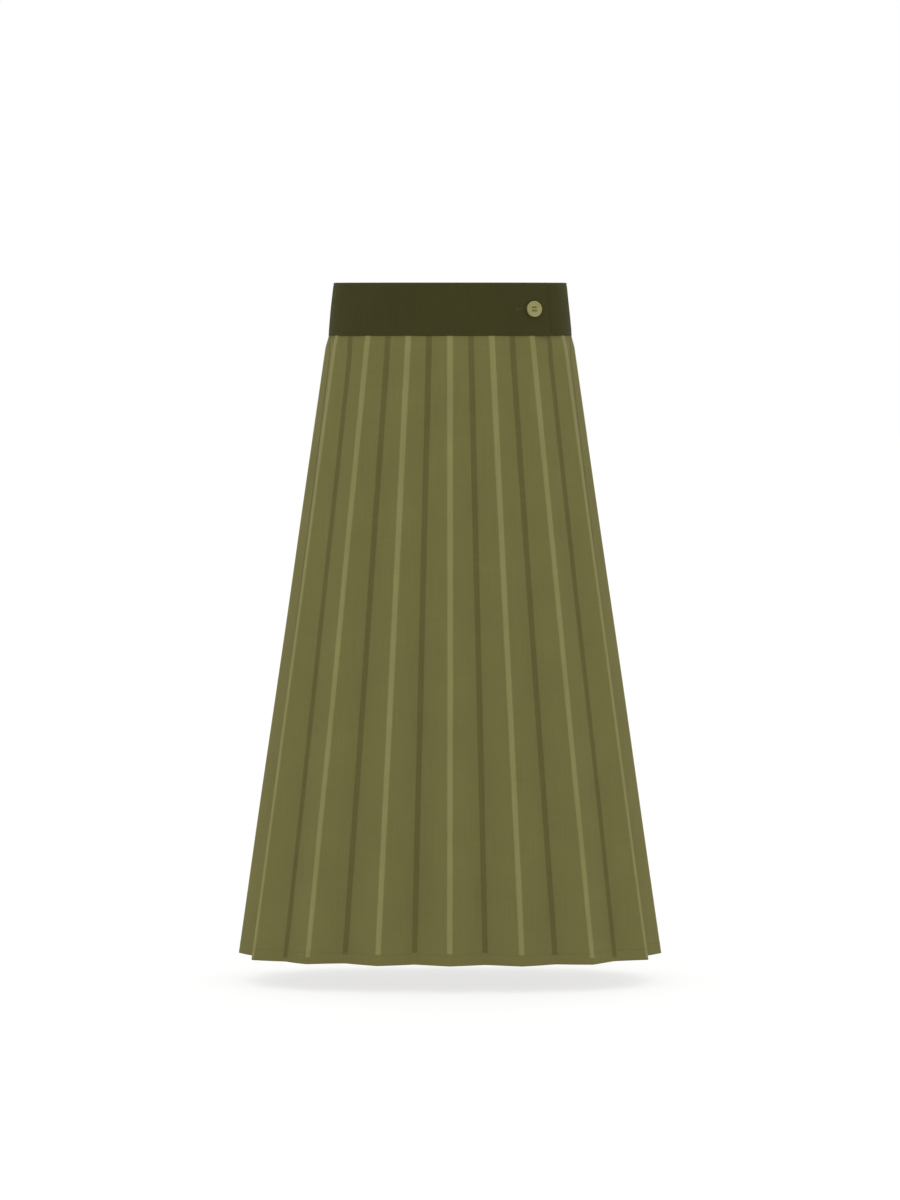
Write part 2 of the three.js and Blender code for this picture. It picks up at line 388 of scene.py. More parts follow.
def band_cloth_finish():
    """Darker cloth, worn a little paler along its top fold."""
    finish = Finish(
        "dark olive band twill",
        Sheen_Weight=0.08,
        Sheen_Roughness=0.5,
        Sheen_Tint=OLIVE,
        Specular_IOR_Level=0.08,
    )
    ribs, tone = twill(finish, tone=0.85, ribbed=0.12, slubbed=0.26, clouded=0.16, clouds=20)
    height = finish.part(finish.place(), "Z")
    worn = finish.fade(height, BAND_TOP - WORN_EDGE, BAND_TOP)
    worn = worn * finish.noise(finish.cut_map(), WORN_SPOTS)
    finish.colour(BAND_OLIVE, tone + worn * WORN_PALER)
    finish.give("Roughness", BAND_DULL - ribs * BAND_RIB_POLISH)
    return finish.material


THREAD_TWIST = 0.7 * MM
TWIST_SLANT = 1.3
TWIST_TONE = 0.3
TWIST_RELIEF = 0.08 * MM
THREAD_FUZZ = 900  # blots in a metre
FUZZ_TONE = 0.2
THREAD_DULL = 0.7
TWIST_POLISH = 0.2


def thread_finish(name, colour):
    """Thread with its twist showing, a little fuzzy."""
    finish = Finish(name, Specular_IOR_Level=0.2)
    place = finish.place()
    slant = finish.part(place, "X") + finish.part(place, "Z") * TWIST_SLANT
    twist = slant.wave(THREAD_TWIST)
    fuzz = finish.noise(place, THREAD_FUZZ)
    finish.colour(colour, 1 + twist.about(TWIST_TONE) + fuzz.about(FUZZ_TONE))
    finish.give("Roughness", THREAD_DULL - twist * TWIST_POLISH)
    finish.bump(twist, TWIST_RELIEF)
    return finish.material


BUTTON_CLOUDS = (120, 120, 300)  # in a metre along each axis
BUTTON_SPECKS = 900
BUTTON_SCRATCHES = (300, 300, 2600)
BUTTON_TONE = 0.95
CLOUD_TONE = 0.3
SPECK_TONE = 0.06
BUTTON_SATIN = 0.3
SCRATCH_DULL = 0.24
SCRATCH_DEPTH = 0.02 * MM


def button_finish():
    """Clouded, satin and finely scratched."""
    finish = Finish(
        "olive button", Coat_Weight=0.2, Coat_Roughness=0.2, Specular_IOR_Level=0.4
    )
    place = finish.place()
    clouds = finish.noise(place, BUTTON_CLOUDS, 4)
    specks = finish.noise(place, BUTTON_SPECKS)
    scratches = finish.noise(place, BUTTON_SCRATCHES, 3)
    tone = BUTTON_TONE + clouds.about(CLOUD_TONE) + specks.about(SPECK_TONE)
    finish.colour(BUTTON_OLIVE, tone)
    finish.give("Roughness", BUTTON_SATIN + scratches * SCRATCH_DULL)
    finish.bump(scratches, SCRATCH_DEPTH)
    return finish.material


FLOOR_WHITE = (0.235, 0.235, 0.235)
FLOOR_GLOW = 0.74
FLOOR_BLOTS = 3  # in a metre
FLOOR_TONE = 0.02


def floor_finish():
    """A pale floor that glows a little from within, which keeps the shadow on it pale."""
    finish = Finish(
        "white floor",
        Roughness=0.9,
        Specular_IOR_Level=0.1,
        Emission_Color=(1, 0.995, 0.99, 1),
        Emission_Strength=FLOOR_GLOW,
    )
    blots = finish.noise(finish.place(), FLOOR_BLOTS)
    finish.colour(FLOOR_WHITE, 1 + blots.about(FLOOR_TONE))
    return finish.material


# ---------------------------------------------------------------- the oval section


def signed_power(value, power):
    return math.copysign(abs(value) ** power, value)


def oval_at_angle(angle):
    """The oval of half-width 1 at an angle from the centre front, towards +X."""
    across = signed_power(math.sin(angle), 2 / SQUARENESS)
    deep = signed_power(math.cos(angle), 2 / SQUARENESS)
    return Vector((across, -DEPTH_SHARE * deep))


OVAL_STEPS = 7200
OVAL = [oval_at_angle(step / OVAL_STEPS * 2 * math.pi) for step in range(OVAL_STEPS + 1)]
OVAL_ALONG = [0, *accumulate((b - a).length for a, b in zip(OVAL, OVAL[1:]))]
OVAL_ROUND = OVAL_ALONG[-1]


def oval_at_pleat(pleat):
    """The oval's point and outward normal a number of pleats from the centre front."""
    along = (pleat / PLEATS % 1) * OVAL_ROUND
    low = min(bisect_right(OVAL_ALONG, along), OVAL_STEPS) - 1
    share = (along - OVAL_ALONG[low]) / (OVAL_ALONG[low + 1] - OVAL_ALONG[low])
    point = OVAL[low].lerp(OVAL[low + 1], share)
    outward = Vector(
        (
            signed_power(point.x, SQUARENESS - 1),
            signed_power(point.y / DEPTH_SHARE, SQUARENESS - 1) / DEPTH_SHARE,
        )
    )
    return point, outward.normalized()


def smooth(value, start, end):
    """Eases from 0 at start to 1 at end."""
    share = min(max((value - start) / (end - start), 0), 1)
    return share * share * (3 - 2 * share)


def blend(start, end, share):
    return start + (end - start) * share


# ---------------------------------------------------------------- cutting and sewing


def cut_cloth(across, down):
    """A flat unit square of cloth, in a grid of that many squares."""
    cloth = bmesh.new()
    bmesh.ops.create_grid(cloth, x_segments=across, y_segments=down, size=0.5)
    bmesh.ops.translate(cloth, vec=(0.5, 0.5, 0), verts=cloth.verts)
    return cloth


def mark_cut(cloth, flat):
    """Writes each corner's place on the flat cut cloth, given by vertex, as the map named cut."""
    layer = cloth.loops.layers.uv.new("cut")
    for face in cloth.faces:
        for loop in face.loops:
            loop[layer].uv = flat[loop.vert]


def finish_piece(name, shape, material, slot, sharp=None):
    """Turns a bmesh into a smooth piece that rides with the skirt."""
    for face in shape.faces:
        face.smooth = True
    if sharp is not None:
        for edge in shape.edges:
            edge.smooth = len(edge.link_faces) < 2 or edge.calc_face_angle() < sharp
    mesh = bpy.data.meshes.new(name)
    shape.to_mesh(mesh)
    shape.free()
    mesh.materials.append(material)
    piece = bpy.data.objects.new(name, mesh)
    bpy.context.scene.collection.objects.link(piece)
    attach(piece, "root")
    return piece


# ---------------------------------------------------------------- the pleats

FOLD_WANDER = 0.011  # in pleats, and the next a share of the depth
DEPTH_VARIES = 0.1
RIDGE_VARIES = 0.9 * MM
FLANK_BOW = 1.1 * MM
USUAL_BOW = 0.5  # the middle of its range, as a share of it
HEM_VARIES = 0.9 * MM
HEM_WAVES = 2.4
LONG_WAVE = 280 * MM
SHORT_WAVE = 200 * MM

# What varies from fold to fold, and where each fold and each of these lies in the noise.
RIDGES, DEPTHS, PLACES, BOWS = range(1, 5)
FOLD_APART = 3.7
FOLD_START = 0.4
KIND_APART = 9.3
KIND_START = 0.6
HEM_LEVEL = 0.5

SIDE_FLARE = (HEM_HALF_WIDTH - TOP_HALF_WIDTH) / SKIRT_DROP
SLANT = math.hypot(1, SIDE_FLARE)  # cloth length for each length of drop
FLANK_ANGLE = (FLANK_AT_HEM - FLANK_AT_BAND) / (SKIRT_DROP * SLANT)
APEX = FLANK_AT_BAND / FLANK_ANGLE  # from the point where all the folds meet to the band


def uneven(fold, kind, drop, wave):
    """A smooth random amount from -1 to 1 down the skirt: each fold and kind has its own."""
    fold_place = FOLD_APART * (fold % FOLDS) + FOLD_START
    return noise.noise((fold_place, KIND_APART * kind + KIND_START, drop / wave))


def top_tuck(fold):
    """How far the band holds a fold inside the straight side of the pleats."""
    pleat = OVERLAP_END + (fold / 2 - OVERLAP_END) % PLEATS
    face = BAND_FOOT_HALF_WIDTH + band_lift(pleat) + band_ripple(pleat, BAND_FOOT)
    return TOP_HALF_WIDTH - face + BAND_OVER_PLEATS


@lru_cache(maxsize=None)
def ring_corner(fold, drop):
    """The corner of a fold at a drop, and the way out there: even folds are outer ones and
    odd ones are inner."""
    share = drop / SKIRT_DROP
    half_width = blend(TOP_HALF_WIDTH, HEM_HALF_WIDTH, share)
    flank = blend(FLANK_AT_BAND, FLANK_AT_HEM, share)
    half_pitch = OVAL_ROUND * half_width / FOLDS
    opened = blend(TOP_OPEN, 1, smooth(drop, -INTO_BAND, BAND_GRIP))
    free = smooth(drop, 0, SKIRT_DROP / 2)
    inset = RIDGE_VARIES * uneven(fold, RIDGES, drop, LONG_WAVE) * free
    inset += top_tuck(fold) * (1 - smooth(drop, 0, TUCK_EASE))
    if fold % 2:
        depth = opened * math.sqrt(flank**2 - half_pitch**2)
        inset += depth * (1 + DEPTH_VARIES * uneven(fold, DEPTHS, drop, LONG_WAVE) * free)
    wander = FOLD_WANDER * free * uneven(fold, PLACES, drop, LONG_WAVE)
    point, outward = oval_at_pleat(fold / 2 + wander)
    return point * half_width - outward * inset, outward


class Panel:
    """The pleats from one side seam to the other. Each seam lies in an inner fold, where the
    cloth turns inward for its seam allowance, which counts as one more flank."""

    def __init__(self, first, last):
        self.first = first
        self.last = last

    def split(self, position):
        """(fold, share) of a position counted in folds: the fold before it and how far it
        lies over the flank from there to the next."""
        fold = min(max(math.floor(position), self.first - 1), self.last)
        return fold, position - fold

    def in_seam(self, fold):
        return not self.first <= fold < self.last

    def corner(self, fold, drop):
        if self.first < fold < self.last:
            return ring_corner(fold, drop)[0]
        seam, side = (self.first, 1) if fold <= self.first else (self.last, -1)
        point, outward = ring_corner(seam, drop)
        point = point + Vector((-outward.y, outward.x)) * (side * SEAM_CLEARANCE)
        if fold != seam:
            point -= outward * blend(SEAM_IN_BAND, SEAM_ALLOWANCE, smooth(drop, 0, SEAM_GRIP))
        return point

    def outline(self, position, drop):
        """The cloth's outer face, with each fold rounded over a share of its flanks."""
        fold, share = self.split(position)
        start = self.corner(fold, drop)
        end = self.corner(fold + 1, drop)
        point = start.lerp(end, share)
        nearest, beyond = (fold, fold - 1) if share < 0.5 else (fold + 1, fold + 2)
        turn = min(share, 1 - share) / FOLD_SHARE
        if turn < 1 and self.first <= nearest <= self.last:
            corner, far = (start, end) if nearest == fold else (end, start)
            before = corner.lerp(self.corner(beyond, drop), FOLD_SHARE)
            after = corner.lerp(far, FOLD_SHARE)
            turn = 0.5 + 0.5 * turn
            point = before * (1 - turn) ** 2 + corner * (2 * turn * (1 - turn)) + after * turn**2
        if self.in_seam(fold):
            return point
        bow = FLANK_BOW * (USUAL_BOW + uneven(fold, BOWS, drop, SHORT_WAVE))
        bow *= math.sin(math.pi * share) ** 2 * smooth(drop, BAND_GRIP, SKIRT_DROP)
        across = (end - start).normalized()
        return point + Vector((across.y, -across.x)) * bow

    def place(self, position, drop, inward=0.0):
        """A place on the pleats and the direction out of them there."""
        point = self.outline(position, drop)
        along = self.outline(position + NUDGE, drop) - self.outline(position - NUDGE, drop)
        out = Vector((along.y, -along.x)).normalized()
        angle = position / FOLDS * 2 * math.pi
        around = (HEM_WAVES * math.cos(angle), HEM_WAVES * math.sin(angle), HEM_LEVEL)
        low = HEM_VARIES * noise.noise(around) * smooth(drop, SKIRT_DROP / 2, SKIRT_DROP)
        spot = point - out * inward
        return Vector((spot.x, spot.y, BAND_FOOT - drop - low)), Vector((out.x, out.y, 0))

    def columns(self):
        """The position of each column, close together over the folds."""
        flanks = range(self.first - 1, self.last + 1)
        return [*(fold + share for fold in flanks for share in FLANK_COLUMNS), self.last + 1]


NUDGE = 0.004  # in folds
FOLD_SHARE = 0.07
FOLD_STEPS = 3
FLANK_STEPS = 8
ROUNDED = [FOLD_SHARE * step / FOLD_STEPS for step in range(FOLD_STEPS)]
FLAT = [blend(FOLD_SHARE, 1 - FOLD_SHARE, step / FLANK_STEPS) for step in range(FLANK_STEPS + 1)]
FLANK_COLUMNS = [*ROUNDED, *FLAT, *(1 - share for share in reversed(ROUNDED[1:]))]

ROW_STEP = 11 * MM
BAND_ROWS = 9
BAND_ROWS_CROWD = 1.3  # more than 1 brings them closer together in the band
HEM_FOLD_ROWS = 5
TURN_ROWS = 3


def cloth_rows():
    """(drop, inward) for each row, from inside the band, down, round the hem's edge and up."""
    straight = SKIRT_DROP - HEM_ROLL
    shares = ((step / BAND_ROWS) ** BAND_ROWS_CROWD for step in range(BAND_ROWS))
    rows = [(blend(-INTO_BAND, BAND_GRIP, share), 0) for share in shares]
    steps = round((straight - BAND_GRIP) / ROW_STEP)
    rows += [(blend(BAND_GRIP, straight, step / steps), 0) for step in range(steps + 1)]
    for step in range(1, HEM_FOLD_ROWS + 1):
        angle = math.pi * step / HEM_FOLD_ROWS
        rows.append((straight + HEM_ROLL * math.sin(angle), HEM_ROLL * (1 - math.cos(angle))))
    for step in range(1, TURN_ROWS + 1):
        rows.append((blend(straight, SKIRT_DROP - HEM_TURN, step / TURN_ROWS), 2 * HEM_ROLL))
    return rows


def crease_end(position):
    """How far above the hem the painted highlight and shade lines fade out: they end in one level
    line.
    """
    across = oval_at_pleat(position / 2)[0].x
    return HEM_TURN * (1 - across**2)


def fold_distances(panel, position, drop, inward):
    """(to the outer fold, to the inner fold, above the end of the painted highlight and shade
    lines).
    """
    fold, share = panel.split(position)
    width = blend(FLANK_AT_BAND, FLANK_AT_HEM, drop / SKIRT_DROP)
    to_outer = (1 - share if fold % 2 else share) * width
    above = -HEM_TURN if inward else SKIRT_DROP - drop - crease_end(position)
    return (width if panel.in_seam(fold) else to_outer), width - to_outer, above


def flat_place(panel, position, length):
    """Where a column lies on the flat cut, which is a part of a ring, at a length down it."""
    radius = APEX + (length - INTO_BAND) * SLANT
    sewn = min(max(position, panel.first), panel.last)
    angle = (sewn - (panel.first + panel.last) / 2) * FLANK_ANGLE
    angle += (position - sewn) * SEAM_ALLOWANCE / radius
    return radius * math.sin(angle), -radius * math.cos(angle)


def pleated_panel(name, panel, right_side, wrong_side):
    """One panel of pleats with its hem turned up inside."""
    rows = cloth_rows()
    columns = panel.columns()
    lengths = [0, *accumulate(math.dist(a, b) for a, b in zip(rows, rows[1:]))]
    cloth = cut_cloth(len(columns) - 1, len(rows) - 1)
    distances = cloth.verts.layers.float_vector.new("folds")
    flat = {}
    for vert in cloth.verts:
        position = columns[round(vert.co.x * (len(columns) - 1))]
        row = round((1 - vert.co.y) * (len(rows) - 1))
        flat[vert] = flat_place(panel, position, lengths[row])
        vert[distances] = fold_distances(panel, position, *rows[row])
        vert.co = panel.place(position, *rows[row])[0]
    mark_cut(cloth, flat)
    piece = finish_piece(name, cloth, right_side, "pleated_cloth")
    piece.data.materials.append(wrong_side)
    thickness = piece.modifiers.new("cloth", "SOLIDIFY")
    thickness.thickness = CLOTH
    thickness.offset = -1
    thickness.material_offset = 1
    return piece


# ---------------------------------------------------------------- the waistband

BAND_HEIGHT = BAND_TOP - BAND_FOOT


def band_half_width(height):
    share = (BAND_TOP - height) / BAND_HEIGHT
    return blend(WAIST_HALF_WIDTH, BAND_FOOT_HALF_WIDTH, share)


PITCH_AT_BAND = OVAL_ROUND * band_half_width(0) / PLEATS
OVERLAP_START = OVERLAP_END - OVERLAP / PITCH_AT_BAND
STRIP_END = OVERLAP_END + PLEATS
STRIP_LENGTH = (STRIP_END - OVERLAP_START) * PITCH_AT_BAND
UNDERLAP_SINK = BAND_CLOTH + SEAM_GAP - OVERLAP_RISE
STITCH_DIP = 0.32 * MM
DIP_WIDTH = 1.3 * MM
BAND_SWELL = 0.25 * MM  # between the two lines of stitches
BAND_RIPPLE = 0.5 * MM
RIPPLES = 2.2
RIPPLE_HEIGHT = 50 * MM


def band_lift(pleat):
    """How far the band lies outside its own oval: it starts under the overlap, runs once
    round the waist and ends on top of its own start."""
    ease = LAP_EASE / PITCH_AT_BAND
    sink = 1 - smooth(pleat, OVERLAP_END, OVERLAP_END + ease)
    lap_start = OVERLAP_START + PLEATS
    rise = smooth(pleat, lap_start - ease, lap_start)
    return OVERLAP_RISE * rise - UNDERLAP_SINK * sink


def band_ripple(pleat, height):
    """The slight waves of a worn band, the same on both turns where they overlap."""
    turn = pleat / PLEATS * 2 * math.pi
    around = (RIPPLES * math.cos(turn), RIPPLES * math.sin(turn), height / RIPPLE_HEIGHT)
    return BAND_RIPPLE * noise.noise(around)


def band_point(pleat, height, depth=0.0):
    """A place on the band's outer face, or as far inside it as depth, and the way out."""
    point, outward = oval_at_pleat(pleat)
    lift = band_lift(pleat) + band_ripple(pleat, height) - depth
    place = point * band_half_width(height) + outward * lift
    return Vector((place.x, place.y, height)), Vector((outward.x, outward.y, 0))


def band_face(height):
    """How far a face of the band stands out at a height, between and in its stitch lines."""
    swell = 0
    for line in (BAND_TOP - TOPSTITCH_INSET, BAND_FOOT + TOPSTITCH_INSET):
        swell -= STITCH_DIP * math.exp(-(((height - line) / DIP_WIDTH) ** 2))
    middle = (height - BAND_FOOT) / BAND_HEIGHT
    return swell + BAND_SWELL * math.sin(math.pi * middle) ** 2


FACE_STEPS = 46
EDGE_STEPS = 6
STRIP_STEP = 4 * MM
END_ROUNDING = 0.9 * MM
MERGE_WITHIN = 0.01 * MM


def band_section():
    """(height, depth) round the doubled band: down its outer face, round and up inside."""
    radius = BAND_CLOTH / 2
    top = BAND_TOP - radius
    foot = BAND_FOOT + radius
    heights = [blend(top, foot, step / FACE_STEPS) for step in range(FACE_STEPS)]
    section = [(height, -band_face(height)) for height in heights]
    for step in range(EDGE_STEPS):
        angle = math.pi * step / EDGE_STEPS
        section.append((foot - radius * math.sin(angle), radius * (1 - math.cos(angle))))
    heights = [blend(foot, top, step / FACE_STEPS) for step in range(FACE_STEPS)]
    section += [(height, BAND_CLOTH + band_face(height)) for height in heights]
    for step in range(EDGE_STEPS):
        angle = math.pi * step / EDGE_STEPS
        section.append((top + radius * math.sin(angle), radius * (1 + math.cos(angle))))
    return [*section, section[0]]


def waistband(material):
    """A long strip rolled into a flat tube, pressed, and closed at its two ends."""
    section = band_section()
    around = len(section) - 1
    across = round(STRIP_LENGTH / STRIP_STEP)
    cloth = cut_cloth(across, around)
    length = [0, *accumulate(math.dist(a, b) for a, b in zip(section, section[1:]))]
    flat = {}
    for vert in cloth.verts:
        share = vert.co.x
        row = around - round(vert.co.y * around)
        height, depth = section[row]
        pleat = blend(OVERLAP_START, STRIP_END, share)
        vert.co = band_point(pleat, height, depth)[0]
        flat[vert] = (share * STRIP_LENGTH, -length[row])
    mark_cut(cloth, flat)
    bmesh.ops.remove_doubles(cloth, verts=cloth.verts, dist=MERGE_WITHIN)
    ends = [edge for edge in cloth.edges if edge.is_boundary]
    bmesh.ops.holes_fill(cloth, edges=ends, sides=0)
    bmesh.ops.bevel(
        cloth,
        geom=ends,
        offset=END_ROUNDING,
        offset_type="OFFSET",
        segments=3,
        profile=0.5,
        affect="EDGES",
        material=-1,
    )
    bmesh.ops.recalc_face_normals(cloth, faces=cloth.faces)
    return finish_piece("waistband_cloth", cloth, material, "band_cloth")


# ---------------------------------------------------------------- the button

BUTTON_SIDES = 72
HOLE_SIDES = 18
HOLE_ROUNDING = 0.22 * MM
RIM_WIDTH = 2.4 * MM
DISH_RADIUS = BUTTON_RADIUS - RIM_WIDTH
DISH_DEPTH = 0.8 * MM
DISH_FLOOR = BUTTON_THICKNESS - DISH_DEPTH
BUTTON_EDGE = 0.75 * MM
EDGE_TURNS = 4
SHARP_EDGE = math.radians(40)

# The rise from the dish to the button's rim: radius and height.
DISH_SIDE = (
    (DISH_RADIUS + 0.5 * MM, DISH_FLOOR + 0.45 * DISH_DEPTH),
    (DISH_RADIUS + 0.9 * MM, DISH_FLOOR + 0.88 * DISH_DEPTH),
    (DISH_RADIUS + 1.3 * MM, BUTTON_THICKNESS),
)


def button_profile():
    """The button's outside, from the dish over the rim to the back: (radius, height)."""
    yield from DISH_SIDE
    inset = BUTTON_RADIUS - BUTTON_EDGE
    turns = [math.pi / 2 * step / EDGE_TURNS for step in range(EDGE_TURNS + 1)]
    for turn in turns:
        rise = BUTTON_THICKNESS - BUTTON_EDGE + BUTTON_EDGE * math.cos(turn)
        yield inset + BUTTON_EDGE * math.sin(turn), rise
    for turn in turns:
        yield inset + BUTTON_EDGE * math.cos(turn), BUTTON_EDGE * (1 - math.sin(turn))


def button_seat():
    """The matrix that puts a button made flat, facing up, on the overlap."""
    place, outward = band_point(BUTTON_PLACE + PLEATS, 0)
    tilt = (WAIST_HALF_WIDTH - BAND_FOOT_HALF_WIDTH) / BAND_HEIGHT
    face = Vector((outward.x, outward.y, -tilt)).normalized()
    right = Vector((0, 0, 1)).cross(face).normalized()
    up = face.cross(right)
    turn = Matrix((right, up, face)).transposed().to_4x4()
    return Matrix.Translation(place + face * BUTTON_STANDOFF) @ turn


def hole_centres():
    offset = BUTTON_HOLE_SPACING / 2
    return [Vector((x * offset, y * offset, 0)) for x in (-1, 1) for y in (-1, 1)]


def fill_face(shape, edges, up):
    bmesh.ops.triangle_fill(
        shape, use_beauty=True, use_dissolve=False, edges=edges, normal=(0, 0, up)
    )


def draw_out(shape, edges, radius, height):
    """Extrudes a ring of edges to another radius and height."""
    made = bmesh.ops.extrude_edge_only(shape, edges=edges)["geom"]
    for vert in (item for item in made if isinstance(item, bmesh.types.BMVert)):
        ring = Vector((vert.co.x, vert.co.y)).normalized() * radius
        vert.co = (ring.x, ring.y, height)
    return [item for item in made if isinstance(item, bmesh.types.BMEdge)]


def dish_with_holes(disc):
    """Fills the button's dish and lines its holes. Returns (the rim, the holes' edges)."""
    floor = Matrix.Translation((0, 0, DISH_FLOOR))
    bmesh.ops.create_circle(disc, segments=BUTTON_SIDES, radius=DISH_RADIUS, matrix=floor)
    rim = list(disc.edges)
    for centre in hole_centres():
        at_hole = floor @ Matrix.Translation(centre)
        bmesh.ops.create_circle(
            disc, segments=HOLE_SIDES, radius=BUTTON_HOLE_RADIUS, matrix=at_hole
        )
    outside = set(rim)
    holes = [edge for edge in disc.edges if edge not in outside]
    fill_face(disc, rim + holes, 1)
    walls = bmesh.ops.extrude_edge_only(disc, edges=holes)["geom"]
    feet = [item for item in walls if isinstance(item, bmesh.types.BMVert)]
    bmesh.ops.translate(disc, vec=(0, 0, -DISH_FLOOR), verts=feet)
    return rim, holes


def button(material):
    """A dished four-hole button, built from its face outwards and over the rim."""
    disc = bmesh.new()
    rim, holes = dish_with_holes(disc)
    for radius, height in button_profile():
        rim = draw_out(disc, rim, radius, height)
    back = [edge for edge in disc.edges if edge.is_boundary]
    fill_face(disc, back, -1)
    bmesh.ops.recalc_face_normals(disc, faces=disc.faces)
    bmesh.ops.bevel(
        disc,
        geom=holes,
        offset=HOLE_ROUNDING,
        offset_type="OFFSET",
        segments=2,
        profile=0.5,
        affect="EDGES",
        material=-1,
    )
    bmesh.ops.transform(disc, matrix=button_seat(), verts=disc.verts)
    return finish_piece("dished_button", disc, material, "button", SHARP_EDGE)


# ---------------------------------------------------------------- thread


def walk(line, pitch):
    """(place, outward, along) at each pitch of a line of (place, outward) pairs."""
    lengths = [0, *accumulate((b[0] - a[0]).length for a, b in zip(line, line[1:]))]
    count = round(lengths[-1] / pitch)
    for step in range(count):
        distance = (step + 0.5) * lengths[-1] / count
        low = min(bisect_right(lengths, distance), len(line) - 1) - 1
        share = (distance - lengths[low]) / (lengths[low + 1] - lengths[low])
        place = line[low][0].lerp(line[low + 1][0], share)
        outward = line[low][1].lerp(line[low + 1][1], share).normalized()
        yield place, outward, (line[low + 1][0] - line[low][0]).normalized()


SPINDLE_SIDES = 6
SPINDLE_RINGS = 4
STITCH_PROUD = 0.4  # of its radius, that a stitch's middle stands above the cloth


class Thread:
    """Thread laid in single stitches, each a copy of one small spindle, joined as one piece."""

    def __init__(self):
        self.shape = bmesh.new()
        spindle = bmesh.new()
        bmesh.ops.create_uvsphere(
            spindle, u_segments=SPINDLE_SIDES, v_segments=SPINDLE_RINGS, radius=1
        )
        self.spindle = bpy.data.meshes.new("spindle")
        spindle.to_mesh(self.spindle)
        spindle.free()

    def lay(self, place, outward, along, length, radius):
        """One stitch along a line, half sunk in the cloth."""
        side = outward.cross(along).normalized()
        turn = Matrix((side, along.cross(side), along)).transposed().to_4x4()
        size = Matrix.Diagonal((radius, radius, length / 2, 1))
        middle = Matrix.Translation(place + outward * (STITCH_PROUD * radius))
        stitch = self.spindle.copy()
        stitch.transform(middle @ turn @ size)
        self.shape.from_mesh(stitch)
        bpy.data.meshes.remove(stitch)

    def sew(self, line, pitch=STITCH_PITCH, length=STITCH, radius=THREAD_RADIUS):
        for place, outward, along in walk(line, pitch):
            self.lay(place, outward, along, length, radius)

    def plug(self, matrix, radius, depth, segments):
        """A short round bundle of thread."""
        bmesh.ops.create_cone(
            self.shape,
            cap_ends=True,
            segments=segments,
            radius1=radius,
            radius2=radius,
            depth=depth,
            matrix=matrix,
        )

    def finish(self, name, material, slot, sharp=None):
        bpy.data.meshes.remove(self.spindle)
        return finish_piece(name, self.shape, material, slot, sharp)


UP = Vector((0, 0, 1))
END_LINE_STEPS = 8


def on_band(pleat, height, inside):
    """A place on a face of the band, and the way out of that face."""
    depth = BAND_CLOTH + band_face(height) if inside else -band_face(height)
    place, outward = band_point(pleat, height, depth)
    return place, outward * (-1 if inside else 1)


def band_line(height, inside):
    """A line along the band at a height."""
    steps = round(STRIP_LENGTH / STITCH_PITCH)
    inset = TOPSTITCH_INSET / PITCH_AT_BAND
    for step in range(steps + 1):
        pleat = blend(OVERLAP_START + inset, STRIP_END - inset, step / steps)
        yield on_band(pleat, height, inside)


def band_end_line(inside):
    """The short line across the overlap, next to its end."""
    pleat = STRIP_END - TOPSTITCH_INSET / PITCH_AT_BAND
    for step in range(END_LINE_STEPS + 1):
        share = step / END_LINE_STEPS
        height = blend(BAND_TOP - TOPSTITCH_INSET, BAND_FOOT + TOPSTITCH_INSET, share)
        yield on_band(pleat, height, inside)


def band_stitches(material):
    """Two lines of topstitching along the band and one across its end, on both faces."""
    thread = Thread()
    for inside in (False, True):
        for height in (BAND_TOP - TOPSTITCH_INSET, BAND_FOOT + TOPSTITCH_INSET):
            thread.sew(list(band_line(height, inside)))
        thread.sew(list(band_end_line(inside)))
    return thread.finish("band_topstitch", material, "band_cloth")


HEM_STITCH_RISE = 1.5 * MM
HEM_THREAD_RADIUS = 0.21 * MM


def hem_stitches(name, panel, material):
    """The hem's stitches, above its turned-up edge on the outside and on it inside."""
    thread = Thread()
    drop = SKIRT_DROP - HEM_TURN + HEM_STITCH_RISE
    columns = [spot for spot in panel.columns() if panel.first <= spot <= panel.last]
    for inward in (0, 2 * HEM_ROLL):
        line = []
        for position in columns:
            place, outward = panel.place(position, drop, inward)
            line.append((place, outward * (-1 if inward else 1)))
        thread.sew(line, radius=HEM_THREAD_RADIUS)
    return thread.finish(name, material, "pleated_cloth")


HOLE_PAST_BUTTON = 1.5 * MM
HOLE_STITCH = 1.9 * MM
HOLE_STITCH_PITCH = 0.55 * MM
HOLE_STITCH_RADIUS = 0.33 * MM
HOLE_STITCH_OFFSET = 1.05 * MM
BAR_STITCH = 4.6 * MM
BAR_STITCHES = 4
BAR_STITCH_PITCH = 0.5 * MM
BAR_STITCH_RADIUS = 0.36 * MM


def buttonhole_stitches(material):
    """Close stitches along both sides of the buttonhole and a bar across each end."""
    thread = Thread()
    end = BUTTON_PLACE + PLEATS + HOLE_PAST_BUTTON / PITCH_AT_BAND
    start = end - BUTTONHOLE_LENGTH / PITCH_AT_BAND
    count = round(BUTTONHOLE_LENGTH / HOLE_STITCH_PITCH)
    for step in range(count + 1):
        for side in (-1, 1):
            height = side * HOLE_STITCH_OFFSET
            place, outward = on_band(blend(start, end, step / count), height, False)
            thread.lay(place, outward, UP, HOLE_STITCH, HOLE_STITCH_RADIUS)
    for bar in (start, end):
        for step in range(BAR_STITCHES):
            shift = (step - (BAR_STITCHES - 1) / 2) * BAR_STITCH_PITCH / PITCH_AT_BAND
            place, outward = on_band(bar + shift, 0, False)
            thread.lay(place, outward, UP, BAR_STITCH, BAR_STITCH_RADIUS)
    return thread.finish("buttonhole", material, "band_cloth")


